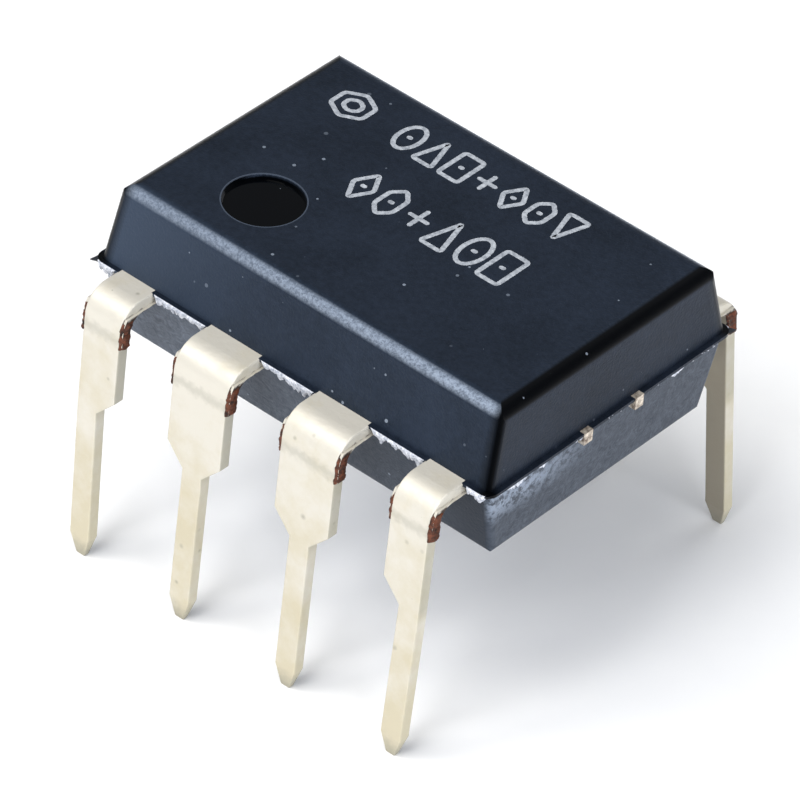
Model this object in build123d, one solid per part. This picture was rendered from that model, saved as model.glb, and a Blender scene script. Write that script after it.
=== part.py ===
"""Eight-lead dual in-line package (DIP) for through-hole boards, in millimetres.

The stamped lead frame gives eight separate leads, bent down and sprung slightly outwards, and a
paddle whose four tie bars end at the two end faces. The die sits on the paddle in a film of
adhesive, a gold wire runs from it to each lead, and one moulding of epoxy closes round all of it.

Frame: X along the body, Y across the two rows of leads, Z up. The origin is the centre of the
lead pattern, on the plane of the lead tips. Leads count 1 to 4 along the row on the -Y side from
the -X end, and 5 to 8 back along the other row.
"""
from build123d import *
import os
from math import cos, radians, tan

os.makedirs("parts", exist_ok=True)

# ---- lead pattern -------------------------------------------------------------------------
LEAD_PITCH = 2.54            # between neighbours in a row
LEADS_PER_ROW = 4
ROW_STANDOFF = 0.77          # from a long side of the body to the middle of the bent metal
ROW_SPLAYS = (3.0, 7.4)      # degrees that the front and back rows lean outwards
LEAD_LEANS = (1.4, -0.5, -0.2, -1.2, 0.0, 0.6, -0.4, 0.5)  # degrees that each pin leans sideways

# ---- lead frame stock and lead shape ------------------------------------------------------
FRAME_THICKNESS = 0.25
FRAME_TOP = 5.75             # upper face of the frame above the lead tips
BEND_RADIUS = 0.38           # to the middle of the metal
SHOULDER_WIDTH = 1.26        # wide part of a lead
PIN_WIDTH = 0.46             # narrow part that enters the board
SHOULDER_FOOT = 3.72         # height where the wide part starts to narrow
SHOULDER_DROP = 0.42         # height that the narrowing takes
TIP_LENGTH = 0.45            # coined taper at the end of a pin
TIP_WIDTH = 0.20
TIP_THICKNESS = 0.12
EDGE_ROUNDING = 0.03         # edges rolled by stamping and plating
ANCHOR_DEPTH = 0.30          # a lead runs this far into the moulding before its finger starts
DAM_STUB_DROP = 0.21         # cut remains of the dam bar start this far below the frame's top
DAM_STUB_HEIGHT = 0.60
DAM_STUB_PROUD = 0.05
DAM_STUB_INSET = 0.03        # inside each face of the metal

# ---- moulded body -------------------------------------------------------------------------
BODY_OVERHANG = 0.725        # from the middle of an outermost lead to the end face
BODY_WIDTH = 6.38            # at the parting plane
UPPER_HEIGHT = 1.53          # from the parting plane to the top face
LOWER_HEIGHT = 1.64          # from the parting plane to the underside
END_DRAFT = 0.12             # how far an end face leans in over its half
SIDE_DRAFT = 0.37            # how far a long side leans in over its half
CORNER_RADIUS = 0.13         # upright corners
TOP_RIM_RADIUS = 0.30        # edge round the top face
BASE_RIM_RADIUS = 0.13       # edge round the underside
FLASH_PROUD = 0.10           # thin lip that the mould halves leave at the parting plane
FLASH_THICKNESS = 0.06
EJECTOR_DIAMETER = 1.52      # round ejector mark near lead 1 on the top face
EJECTOR_DEPTH = 0.10
EJECTOR_TAPER = 20           # degrees that its wall leans
EJECTOR_FROM_END = 2.195     # from its middle to the end face and to the long side
EJECTOR_FROM_SIDE = 1.77

# ---- paddle, fingers, die and wires -------------------------------------------------------
PADDLE_LENGTH = 3.40
PADDLE_WIDTH = 2.40
PADDLE_DOWNSET = 0.20
TIE_BAR_WIDTH = 0.22
TIE_BAR_SPACING = 1.37       # between the two tie bars of one end
TIE_BAR_PROUD = 0.02         # cut ends stand this far out of the flash lip
TIE_SLOPE_RUN = 0.35         # length over which a tie bar drops to the paddle
FRAME_GAP = 0.25             # stamped gap from a finger to the paddle and its tie bars
FINGER_WIDTH = 0.60          # at the inner end
FINGER_SPREAD = 0.30         # between the inner ends of the two middle fingers of a row
DIE_LENGTH = 1.90
DIE_WIDTH = 1.40
DIE_THICKNESS = 0.28
ADHESIVE_THICKNESS = 0.03
ADHESIVE_MARGIN = 0.08       # adhesive past each edge of the die
WIRE_DIAMETER = 0.03
BALL_DIAMETER = 0.09
BALL_HEIGHT = 0.03
STITCH_DIAMETER = 0.08       # flattened end of a wire on its finger
STITCH_HEIGHT = 0.02
BOND_PAD_INSET = 0.12        # bond pads stand this far inside the edge of the die
BOND_PAD_SPACING = 0.80      # between the two middle bond pads of a side
STITCH_INSET = 0.15          # wires land this far inside the inner end of a finger
WIRE_LOOP = 0.20             # top of a wire's loop above the die
LOOP_FLAT_SHARE = 0.35       # share of a wire's reach that stays level before it falls
WIRE_BEND_RADIUS = 0.06

# ---- worked out from the sizes above ------------------------------------------------------
PARTING_Z = FRAME_TOP
FRAME_MIDDLE = FRAME_TOP - FRAME_THICKNESS / 2
FRAME_BOTTOM = FRAME_TOP - FRAME_THICKNESS
ROW_HALF_LENGTH = (LEADS_PER_ROW - 1) * LEAD_PITCH / 2
ROW_SPACING = BODY_WIDTH + 2 * ROW_STANDOFF
BODY_LENGTH = 2 * (ROW_HALF_LENGTH + BODY_OVERHANG)
DAM_STUB_TOP = FRAME_TOP - DAM_STUB_DROP
EJECTOR_X = EJECTOR_FROM_END - BODY_LENGTH / 2
EJECTOR_Y = EJECTOR_FROM_SIDE - BODY_WIDTH / 2
FINGER_START = BODY_WIDTH / 2 - ANCHOR_DEPTH
FINGER_END = PADDLE_WIDTH / 2 + FRAME_GAP
TIE_BAR_Y = TIE_BAR_SPACING / 2
PADDLE_TOP = FRAME_TOP - PADDLE_DOWNSET
DIE_BOTTOM = PADDLE_TOP + ADHESIVE_THICKNESS
DIE_TOP = DIE_BOTTOM + DIE_THICKNESS


def prism_up(points, bottom, top):
    """Prism on an outline in plan, between two heights."""
    face = make_face(Polyline(*[(x, y, bottom) for x, y in points], close=True))
    return extrude(face, amount=top - bottom, dir=(0, 0, 1))


def prism_back(points, front, back):
    """Prism on an outline seen from the -Y side, between two places along Y."""
    face = make_face(Polyline(*[(x, front, z) for x, z in points], close=True))
    return extrude(face, amount=back - front, dir=(0, 1, 0))


# ---- leads: each shape is made in the row on the -Y side -----------------------------------
def leg_point(splay, offset, height):
    """Point of a leg at a height, on the line this far outwards from the metal's middle."""
    drop = FRAME_MIDDLE - height
    out = ROW_SPACING / 2 + drop * tan(splay) + offset / cos(splay)
    return (0, -out, height)


def bent_line(splay, offset, tip_offset):
    """Level run, bend, straight leg and coined tip, on one face of the metal."""
    level = FRAME_MIDDLE + offset
    start = (0, -FINGER_START, level)
    corner = leg_point(splay, offset, level)
    taper_top = leg_point(splay, offset, TIP_LENGTH)
    run = FilletPolyline(start, corner, taper_top, radius=BEND_RADIUS + offset)
    return run + Line(taper_top, leg_point(splay, tip_offset, 0))


def bent_strip(splay, thickness, left, right):
    """Side profile of a lead between two places along the row."""
    upper = bent_line(splay, thickness / 2, TIP_THICKNESS / 2)
    lower = bent_line(splay, -thickness / 2, -TIP_THICKNESS / 2)
    ends = Line(upper @ 0, lower @ 0) + Line(upper @ 1, lower @ 1)
    return Pos(left, 0, 0) * extrude(make_face(upper + lower + ends), amount=right - left, dir=(1, 0, 0))


def lead_x(index):
    """Place of a lead along its row, counted from the -X end."""
    return index * LEAD_PITCH - ROW_HALF_LENGTH


def shoulder_reach(index):
    """How far a shoulder reaches to -X and to +X: an outermost lead is wide inwards only."""
    left = PIN_WIDTH / 2 if index == 0 else SHOULDER_WIDTH / 2
    right = PIN_WIDTH / 2 if index == LEADS_PER_ROW - 1 else SHOULDER_WIDTH / 2
    return left, right


def leg_outline(index, lean):
    """Front outline of a leg: wide shoulder, slanted narrowing, pin and coined tip."""
    x = lead_x(index)
    left, right = shoulder_reach(index)
    pin = PIN_WIDTH / 2
    pin_top = SHOULDER_FOOT - SHOULDER_DROP
    above = FRAME_TOP + FRAME_THICKNESS
    x_taper = x + (pin_top - TIP_LENGTH) * tan(radians(lean))
    x_tip = x + pin_top * tan(radians(lean))
    return [
        (x - left, above), (x + right, above), (x + right, SHOULDER_FOOT), (x + pin, pin_top),
        (x_taper + pin, TIP_LENGTH), (x_tip + TIP_WIDTH / 2, 0),
        (x_tip - TIP_WIDTH / 2, 0), (x_taper - pin, TIP_LENGTH),
        (x - pin, pin_top), (x - left, SHOULDER_FOOT),
    ]


def without_repeats(points):
    """The outline without a point that falls on the one before it, as beside a straight edge."""
    kept = [points[0]]
    for point in points[1:]:
        if Vector(*point) != Vector(*kept[-1]):
            kept.append(point)
    return kept


def finger_outline(index):
    """Plan of a lead inside the moulding, from its anchored run to the end its wire lands on."""
    side = -1 if lead_x(index) < 0 else 1
    left, right = shoulder_reach(index)
    out_edge = abs(lead_x(index)) + (left if side < 0 else right)
    in_edge = abs(lead_x(index)) - (right if side < 0 else left)
    if index in (0, LEADS_PER_ROW - 1):
        end_x = PADDLE_LENGTH / 2 + FRAME_GAP
        end_y = TIE_BAR_Y + TIE_BAR_WIDTH / 2 + FRAME_GAP
        inner = [
            (out_edge, end_y + SHOULDER_WIDTH), (in_edge, end_y), (end_x, end_y),
            (end_x, end_y + FINGER_WIDTH), (in_edge - FINGER_WIDTH, end_y + FINGER_WIDTH),
        ]
    else:
        end_x = FINGER_SPREAD / 2
        inner = [
            (out_edge, FINGER_END + FINGER_WIDTH), (end_x + FINGER_WIDTH, FINGER_END),
            (end_x, FINGER_END), (end_x, FINGER_END + FINGER_WIDTH / 2),
        ]
    outline = [(out_edge, FINGER_START)] + inner + [(in_edge, FINGER_START)]
    return [(side * x, -y) for x, y in outline]


def front_lead(index, splay, lean):
    """One whole lead of the row on the -Y side."""
    x = lead_x(index)
    left, right = shoulder_reach(index)
    reach = SHOULDER_WIDTH + DAM_STUB_PROUD
    outline = without_repeats(leg_outline(index, lean))
    leg = bent_strip(splay, FRAME_THICKNESS, x - reach, x + reach)
    leg &= prism_back(outline, -2 * ROW_SPACING, -FINGER_START)
    start_face = leg.faces().sort_by(Axis.Y)[-1]
    rolled = [edge for edge in leg.edges() if edge not in start_face.edges()]
    leg = fillet(rolled, EDGE_ROUNDING)
    stub_thickness = FRAME_THICKNESS - 2 * DAM_STUB_INSET
    stub = bent_strip(splay, stub_thickness, x - left - DAM_STUB_PROUD, x + right + DAM_STUB_PROUD)
    band = Box(2 * reach, 4 * ROW_SPACING, DAM_STUB_HEIGHT)
    stub &= Pos(x, 0, DAM_STUB_TOP - DAM_STUB_HEIGHT / 2) * band
    finger = prism_up(finger_outline(index), FRAME_BOTTOM, FRAME_TOP)
    return leg + stub + finger


def make_leads():
    """All leads by name; the back row is made in front and turned half round the upright axis."""
    leads = {}
    for row, turn in enumerate((0, 180)):
        splay = radians(ROW_SPLAYS[row])
        for index in range(LEADS_PER_ROW):
            count = row * LEADS_PER_ROW + index
            lead = front_lead(index, splay, LEAD_LEANS[count])
            leads[f"lead_{count + 1}"] = Rot(0, 0, turn) * lead
    return leads


# ---- paddle, adhesive and die --------------------------------------------------------------
def make_paddle():
    """Plate under the die, with two downset tie bars at each end."""
    bottom = PADDLE_TOP - FRAME_THICKNESS
    paddle = prism_up(rectangle(PADDLE_LENGTH, PADDLE_WIDTH), bottom, PADDLE_TOP)
    end = BODY_LENGTH / 2 + FLASH_PROUD + TIE_BAR_PROUD
    slope_start = PADDLE_LENGTH / 2
    slope_end = slope_start + TIE_SLOPE_RUN
    top_line = [(slope_start, PADDLE_TOP), (slope_end, FRAME_TOP), (end, FRAME_TOP)]
    bottom_line = [(x, z - FRAME_THICKNESS) for x, z in reversed(top_line)]
    for side in (-1, 1):
        outline = [(side * x, z) for x, z in top_line + bottom_line]
        for y in (-TIE_BAR_Y, TIE_BAR_Y):
            paddle += prism_back(outline, y - TIE_BAR_WIDTH / 2, y + TIE_BAR_WIDTH / 2)
    return paddle


def rectangle(length, width):
    """Corners of a rectangle about the origin, in plan."""
    return [
        (-length / 2, -width / 2), (length / 2, -width / 2),
        (length / 2, width / 2), (-length / 2, width / 2),
    ]


def make_adhesive():
    length = DIE_LENGTH + 2 * ADHESIVE_MARGIN
    width = DIE_WIDTH + 2 * ADHESIVE_MARGIN
    return prism_up(rectangle(length, width), PADDLE_TOP, DIE_BOTTOM)


def make_die():
    return prism_up(rectangle(DIE_LENGTH, DIE_WIDTH), DIE_BOTTOM, DIE_TOP)


# ---- bond wires ----------------------------------------------------------------------------
def wire_ends(index):
    """Where a wire of the row on the -Y side starts on the die and lands on its finger."""
    side = -1 if lead_x(index) < 0 else 1
    pad_y = -(DIE_WIDTH / 2 - BOND_PAD_INSET)
    if index in (0, LEADS_PER_ROW - 1):
        pad = (side * (DIE_LENGTH / 2 - BOND_PAD_INSET), pad_y)
        land_x = PADDLE_LENGTH / 2 + FRAME_GAP + STITCH_INSET
        land_y = TIE_BAR_Y + TIE_BAR_WIDTH / 2 + FRAME_GAP + STITCH_INSET
    else:
        pad = (side * BOND_PAD_SPACING / 2, pad_y)
        land_x = (FINGER_SPREAD + FINGER_WIDTH) / 2
        land_y = FINGER_END + STITCH_INSET
    return pad, (side * land_x, -land_y)


def front_wire(index):
    """Ball on the die, a rise, a loop and a long fall to a flattened stitch on the finger."""
    pad, land = wire_ends(index)
    ball = Pos(pad[0], pad[1], DIE_TOP + BALL_HEIGHT / 2) * Cylinder(BALL_DIAMETER / 2, BALL_HEIGHT)
    stitch = Pos(land[0], land[1], FRAME_TOP + STITCH_HEIGHT / 2) * Cylinder(
        STITCH_DIAMETER / 2, STITCH_HEIGHT
    )
    loop_z = DIE_TOP + WIRE_LOOP
    run = Vector(land[0] - pad[0], land[1] - pad[1], 0)
    knee = Vector(pad[0], pad[1], loop_z) + run * LOOP_FLAT_SHARE
    path = FilletPolyline(
        (pad[0], pad[1], DIE_TOP + BALL_HEIGHT / 2),
        (pad[0], pad[1], loop_z),
        knee,
        (land[0], land[1], FRAME_TOP + WIRE_DIAMETER / 2),
        radius=WIRE_BEND_RADIUS,
    )
    section = Plane(origin=path @ 0, z_dir=path % 0) * Circle(WIRE_DIAMETER / 2)
    return ball + sweep(section, path=path) + stitch


def make_wires():
    """One wire for each lead, turned half round for the back row as the leads are."""
    wires = {}
    for row, turn in enumerate((0, 180)):
        for index in range(LEADS_PER_ROW):
            count = row * LEADS_PER_ROW + index
            wires[f"bond_wire_{count + 1}"] = Rot(0, 0, turn) * front_wire(index)
    return wires


# ---- moulded body --------------------------------------------------------------------------
def rim_cutter(half_span, draft, height, radius, place, length, direction):
    """What lies outside one rounded rim: the arc, then level outwards and away from the body."""
    lean = draft / abs(height)
    beyond = height / 2
    run = FilletPolyline(
        place(half_span + lean * abs(beyond), -beyond),
        place(half_span - draft, height),
        place(0, height),
        radius=radius,
    )
    arc = run.edges().filter_by(GeomType.CIRCLE)[0]
    outer, inner = sorted((arc @ 0, arc @ 1), key=lambda point: abs(point.Z))
    above = Vector(inner.X, inner.Y, 2 * height)
    far_above = place(2 * half_span, 2 * height)
    far = place(2 * half_span, outer.Z)
    outline = Line(inner, above) + Line(above, far_above) + Line(far_above, far) + Line(far, outer)
    return extrude(make_face(arc + outline), amount=length, dir=direction)


def body_half(height, rim_radius):
    """Half of the moulding from the parting plane: drafted sides and a rounded far rim."""
    near = Rectangle(BODY_LENGTH, BODY_WIDTH)
    far = Rectangle(BODY_LENGTH - 2 * END_DRAFT, BODY_WIDTH - 2 * SIDE_DRAFT)
    half = loft([near, Pos(0, 0, height) * far], ruled=True)
    corners = [edge for edge in half.edges() if edge.bounding_box().size.Z > abs(height) / 2]
    half = fillet(corners, CORNER_RADIUS)
    for side in (-1, 1):
        half -= rim_cutter(
            BODY_WIDTH / 2, SIDE_DRAFT, height, rim_radius,
            lambda out, z: Vector(-BODY_LENGTH, side * out, z), 2 * BODY_LENGTH, (1, 0, 0),
        )
        half -= rim_cutter(
            BODY_LENGTH / 2, END_DRAFT, height, rim_radius,
            lambda out, z: Vector(side * out, -BODY_WIDTH, z), 2 * BODY_WIDTH, (0, 1, 0),
        )
    return half


def make_body(embedded):
    """Both halves, the flash lip between them and the ejector mark, less all that it holds."""
    lip = RectangleRounded(
        BODY_LENGTH + 2 * FLASH_PROUD, BODY_WIDTH + 2 * FLASH_PROUD, CORNER_RADIUS + FLASH_PROUD
    )
    body = body_half(UPPER_HEIGHT, TOP_RIM_RADIUS) + body_half(-LOWER_HEIGHT, BASE_RIM_RADIUS)
    body += extrude(lip, amount=-FLASH_THICKNESS)
    mark = Pos(EJECTOR_X, EJECTOR_Y, UPPER_HEIGHT) * Circle(EJECTOR_DIAMETER / 2)
    body -= extrude(mark, amount=-EJECTOR_DEPTH, taper=EJECTOR_TAPER)
    body = Pos(0, 0, PARTING_Z) * body
    for piece in embedded:
        body -= piece
    return body


# ---- build ---------------------------------------------------------------------------------
nodes = make_leads()
nodes["die_pad"] = make_paddle()
nodes["die_adhesive"] = make_adhesive()
nodes["silicon_die"] = make_die()
nodes.update(make_wires())
nodes["moulded_body"] = make_body(list(nodes.values()))
for name, piece in nodes.items():
    export_step(piece, f"parts/{name}.step")
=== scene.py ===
"""Looks of an eight-lead dual in-line package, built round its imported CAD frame."""

import bpy
import numpy as np
from mathutils import Matrix, Vector


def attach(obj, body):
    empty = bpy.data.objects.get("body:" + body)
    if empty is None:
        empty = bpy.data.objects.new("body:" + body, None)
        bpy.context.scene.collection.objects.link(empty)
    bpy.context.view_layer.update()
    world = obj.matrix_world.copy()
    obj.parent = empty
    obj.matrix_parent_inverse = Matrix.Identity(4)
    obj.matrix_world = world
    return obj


MM = 0.001

# ---- sizes repeated from the frame, in millimetres -----------------------------------------
PITCH = 2.54
LEADS_PER_ROW = 4
ROW_HALF_SPACING = 3.96      # from the middle of the body to the metal's middle at the bends
ROW_SPLAYS = (3.0, 7.4)      # degrees
BEND_RADIUS = 0.38
FRAME_TOP = 5.75
FRAME_THICKNESS = 0.25
SHOULDER_HALF = 0.63
PIN_HALF = 0.23
TOP_FACE = 7.28
BODY_HALF_LENGTH = 4.535     # at the parting plane
BODY_HALF_WIDTH = 3.19
UPPER_HEIGHT = 1.53
LOWER_HEIGHT = 1.64
SIDE_DRAFT = 0.37
END_DRAFT = 0.12
LIP_PROUD = 0.10
LIP_THICKNESS = 0.06
EJECTOR_PLACE = (-2.34, -1.42)
EJECTOR_RADIUS = 0.76

# ---- sizes of what is only in the looks, in millimetres ------------------------------------
INK_STROKE = 0.092           # width of a printed line
INK_PROUD = 0.003            # printed ink stands this far above the top face
INK_SUNK = 0.004             # and its foot lies this far below it
INK_STEP = 0.018             # between the points along a printed line
INK_TURN = 0.07              # radius of a printed line's corners
BLEED_HEIGHT = 0.34          # sets how far the flakes of resin bleed hang below the lip
BLEED_PROUD = 0.05           # and how far they stand out
BLEED_STEP = 0.015           # between the sections of a flake
BLEED_SUNK_END = 0.045       # flakes on the ends start this far inside the lip's edge
FLASH_ROOT = 0.10            # a corner spike starts this far inside the body
CUT_TOP = 5.50               # heights of a dam-bar cut's two ends
CUT_BOTTOM = 4.90
CUT_LEAST = 0.045            # a cut's torn face stands this far out of the lead's side
CUT_PROUD = 0.05             # and by up to this much more

# ---- where the zones of the finishes and of the painted light and shade start and where they are full, in millimetres ---
LOWER_ZONE = (5.70, 5.66)    # height, finish of the lower half
TOP_ZONE = 7.0               # height, only the top face and its rims lie above it
CORNER_ZONE = (0.29, 0.07)   # distance from the side and end walls, smoother corners painted dark as painted shade
MARK_ZONE = (0.995, 0.97)    # polish and painted dark reflection of the ejector mark, in shares of its radius
RING_ZONE = (1.01, 0.018)    # its painted highlight ring: middle and half width, in shares of the same radius
LEFT_PALE_ZONE = (-0.8, -4.2)     # along the body, paler left of the long sides
PAINTED_LIGHT_ZONE = (4.0, -3.2)      # along the body, painted light falling off towards the right end
SCRAPE_ACROSS = (-0.2, -2.0) # across the body, scraped patch
SCRAPE_UP = (4.80, 5.25)     # height, scraped patch
STAIN_ZONE = (5.6, 0.0)      # height, yellow staining of the leads
SHEAR_ZONE = (3.1, 3.4)      # height, dull sides of the shoulders
BEND_ZONE = (5.45, 5.25)     # height, below the bend
RAGGED_REACH = 0.25          # noise moves the rub, the tips and the cuts by up to this
RUB_HEIGHT = 5.22            # middle of the rub under each bend
RUB_REACH = (0.16, 0.03)     # distance from that height
TIP_ZONE = (0.55, 0.15)      # height, grey tips
CUT_MIDDLE = 5.36            # middle of the bare copper
CUT_REACH = (0.32, 0.26)     # distance from that height

# ---- lights and camera ---------------------------------------------------------------------
LIGHT_AIM = (0, 0, 0.004)    # metres
CAMERA_ANGLES = (38.674, 39.306, 4.464)    # degrees round from the front, up, and rolled
CAMERA_TARGET = (0.08986, -0.23234, 3.5)   # millimetres
CAMERA_DISTANCE = 115.011                  # millimetres
CAMERA_LENS = 291.15                       # on a sensor 36 mm wide


# ---- numbers and meshes --------------------------------------------------------------------
def linear(code):
    """Linear RGBA of an sRGB hex colour."""
    srgb = np.array([int(code[i:i + 2], 16) for i in (1, 3, 5)]) / 255
    rgb = np.where(srgb <= 0.04045, srgb / 12.92, ((srgb + 0.055) / 1.055) ** 2.4)
    return (*rgb.tolist(), 1.0)


def smooth_noise(count, step, seed):
    """Random values at every step-th of count places, eased between by (1 - cos) / 2, 0 to 1."""
    knots = np.random.default_rng(seed).random(count // step + 2)
    place = np.arange(count) / step
    low = place.astype(int)
    ease = (1 - np.cos(np.pi * (place - low))) / 2
    return knots[low] * (1 - ease) + knots[low + 1] * ease


def skin(name, shells, material, smooth=True):
    """One closed mesh for each shell, all in one piece. A shell is a grid of points and a flag.

    Columns run round a section and join on themselves. Rows run along the shell: where the flag
    is True they join round too, and elsewhere the first and last rows close on their centres.
    A shell whose enclosed volume comes out negative has its faces turned outwards."""
    points, faces, start = [], [], 0
    for grid, is_loop in shells:
        rows, columns = grid.shape[:2]
        corner = np.arange(rows * columns).reshape(rows, columns)
        after = np.roll(corner, -1, axis=1)
        below, below_after = np.roll(corner, -1, axis=0), np.roll(after, -1, axis=0)
        walls = np.stack([corner, after, below_after, below], -1)
        walls = walls.reshape(-1, 4) if is_loop else walls[:-1].reshape(-1, 4)
        shell, caps = grid.reshape(-1, 3), np.zeros((0, 3), int)
        if not is_loop:
            caps = np.concatenate([
                np.stack([after[0], corner[0], np.full(columns, len(shell))], -1),
                np.stack([corner[-1], after[-1], np.full(columns, len(shell) + 1)], -1),
            ])
            shell = np.concatenate([shell, grid[0].mean(0)[None], grid[-1].mean(0)[None]])
        triangles = np.concatenate([walls[:, :3], walls[:, [0, 2, 3]], caps])
        a, b, c = (shell[triangles[:, k]] - shell.mean(0) for k in range(3))
        if np.einsum("ij,ij->", a, np.cross(b, c)) < 0:
            walls, caps = walls[:, ::-1], caps[:, ::-1]
        points.append(shell)
        faces += (walls + start).tolist() + (caps + start).tolist()
        start += len(shell)
    mesh = bpy.data.meshes.new(name)
    mesh.from_pydata((np.concatenate(points) * MM).tolist(), [], faces)
    mesh.polygons.foreach_set("use_smooth", np.full(len(faces), smooth))
    mesh.update()
    piece = bpy.data.objects.new(name, mesh)
    bpy.context.scene.collection.objects.link(piece)
    mesh.materials.append(material)
    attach(piece, "root")
    return piece


# ---- materials -----------------------------------------------------------------------------
def add(tree, kind, feeds=None, **settings):
    """Adds one node, sets its fields, and feeds its sockets from values or from other sockets."""
    made = tree.nodes.new(kind)
    for field, value in settings.items():
        setattr(made, field, value)
    for socket, source in (feeds or {}).items():
        if isinstance(source, bpy.types.NodeSocket):
            tree.links.new(source, made.inputs[socket])
        else:
            made.inputs[socket].default_value = source
    return made


def blank(name):
    """A material with an empty tree, its Principled shader and its output."""
    material = bpy.data.materials.new(name)
    material.use_nodes = True
    tree = material.node_tree
    tree.nodes.clear()
    shader = add(tree, "ShaderNodeBsdfPrincipled")
    add(tree, "ShaderNodeOutputMaterial", {"Surface": shader.outputs[0]})
    return material, tree, shader


def moulded_epoxy():
    """Silica-filled black epoxy moulded in a spark-eroded cavity.

    The eroded faces give a matt blue-black with a fine even grain and pale filler specks, paler
    towards the left of the long sides. The upper half's end rims and corners are smoother and are
    painted dark as painted shade, with their reflections nearly off. The long rims are pale, partly
    worn and partly a painted highlight. The ejector mark is polished and painted dark inside a
    painted highlight ring. The lower half is greyer and scuffed, with painted shade growing towards
    its right end, and one scraped patch at the right end. Reflections on the end faces are turned
    down as painted shade."""
    material, tree, shader = blank("moulded_epoxy_spark_eroded")
    place = add(tree, "ShaderNodeTexCoord").outputs["Object"]
    split = add(tree, "ShaderNodeSeparateXYZ", {0: place})
    facing = add(tree, "ShaderNodeSeparateXYZ", {0: add(tree, "ShaderNodeNewGeometry").outputs["Normal"]})
    face_x = add(tree, "ShaderNodeMath", {0: facing.outputs[0]}, operation="ABSOLUTE").outputs[0]
    face_y = add(tree, "ShaderNodeMath", {0: facing.outputs[1]}, operation="ABSOLUTE").outputs[0]
    face_z = facing.outputs[2]

    # zones: ejector mark, lower half, long top rim, end rim, upright corners
    flat = add(tree, "ShaderNodeCombineXYZ", {0: split.outputs[0], 1: split.outputs[1], 2: 0.0})
    centre = (EJECTOR_PLACE[0] * MM, EJECTOR_PLACE[1] * MM, 0.0)
    from_mark = add(tree, "ShaderNodeVectorMath", {0: flat.outputs[0], 1: centre}, operation="DISTANCE")
    in_circle = add(tree, "ShaderNodeMapRange", {
        "Value": from_mark.outputs["Value"], "From Min": MARK_ZONE[0] * EJECTOR_RADIUS * MM,
        "From Max": MARK_ZONE[1] * EJECTOR_RADIUS * MM})
    above = add(tree, "ShaderNodeMath", {
        0: split.outputs[2], 1: TOP_ZONE * MM}, operation="GREATER_THAN")
    mark = add(tree, "ShaderNodeMath", {0: in_circle.outputs[0], 1: above.outputs[0]}, operation="MULTIPLY")
    lower = add(tree, "ShaderNodeMapRange", {
        "Value": split.outputs[2], "From Min": LOWER_ZONE[0] * MM, "From Max": LOWER_ZONE[1] * MM})
    long_slope = add(tree, "ShaderNodeMath", {0: face_y, 1: face_z}, operation="MULTIPLY")
    long_rim = add(tree, "ShaderNodeMapRange", {
        "Value": long_slope.outputs[0], "From Min": 0.32, "From Max": 0.49})
    end_slope = add(tree, "ShaderNodeMath", {0: face_x, 1: face_z}, operation="MULTIPLY")
    end_rim = add(tree, "ShaderNodeMapRange", {
        "Value": end_slope.outputs[0], "From Min": 0.12, "From Max": 0.32})
    side_x = add(tree, "ShaderNodeMath", {0: split.outputs[0]}, operation="ABSOLUTE").outputs[0]
    side_y = add(tree, "ShaderNodeMath", {0: split.outputs[1]}, operation="ABSOLUTE").outputs[0]
    lean_x = add(tree, "ShaderNodeMath", {
        0: split.outputs[2], 1: END_DRAFT / UPPER_HEIGHT, 2: side_x}, operation="MULTIPLY_ADD")
    lean_y = add(tree, "ShaderNodeMath", {
        0: split.outputs[2], 1: SIDE_DRAFT / UPPER_HEIGHT, 2: side_y}, operation="MULTIPLY_ADD")
    full_x = (BODY_HALF_LENGTH + FRAME_TOP * END_DRAFT / UPPER_HEIGHT) * MM
    full_y = (BODY_HALF_WIDTH + FRAME_TOP * SIDE_DRAFT / UPPER_HEIGHT) * MM
    near_end = add(tree, "ShaderNodeMapRange", {
        "Value": lean_x.outputs[0], "From Min": full_x - CORNER_ZONE[0] * MM,
        "From Max": full_x - CORNER_ZONE[1] * MM})
    near_side = add(tree, "ShaderNodeMapRange", {
        "Value": lean_y.outputs[0], "From Min": full_y - CORNER_ZONE[0] * MM,
        "From Max": full_y - CORNER_ZONE[1] * MM})
    corner = add(tree, "ShaderNodeMath", {
        0: near_end.outputs[0], 1: near_side.outputs[0]}, operation="MULTIPLY")
    # end rims and upright corners of the upper half: smoother, and painted dark as painted shade
    smooth_shaded_edge = add(tree, "ShaderNodeMath", {
        0: end_rim.outputs[0], 1: corner.outputs[0]}, operation="MAXIMUM")
    upper_smooth_shaded = add(tree, "ShaderNodeMath", {
        0: smooth_shaded_edge.outputs[0],
        1: add(tree, "ShaderNodeMath", {0: 1.0, 1: lower.outputs[0]}, operation="SUBTRACT").outputs[0]},
        operation="MULTIPLY")

    # colour: clouds 1.4 mm and mottle 0.13 mm across over a blue-black, then a paler band at the left of
    # the long sides, the lower half with its painted shade, the long rims' wear and painted highlight,
    # the painted dark zones, the specks and the ejector mark's painted highlight ring
    clouds = add(tree, "ShaderNodeTexNoise", {
        "Vector": place, "Scale": 1 / (1.4 * MM), "Detail": 4.0, "Roughness": 0.6})
    mottle = add(tree, "ShaderNodeTexNoise", {
        "Vector": place, "Scale": 1 / (0.13 * MM), "Detail": 3.0, "Roughness": 0.7})
    drift = add(tree, "ShaderNodeMath", {
        0: clouds.outputs["Fac"], 1: mottle.outputs["Fac"]}, operation="ADD")
    drift_share = add(tree, "ShaderNodeMapRange", {
        "Value": drift.outputs[0], "From Min": 0.72, "From Max": 1.28})
    ground = add(tree, "ShaderNodeMix", {
        "Factor": drift_share.outputs[0], 6: linear("#04070c"), 7: linear("#171d27")}, data_type="RGBA")
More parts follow.
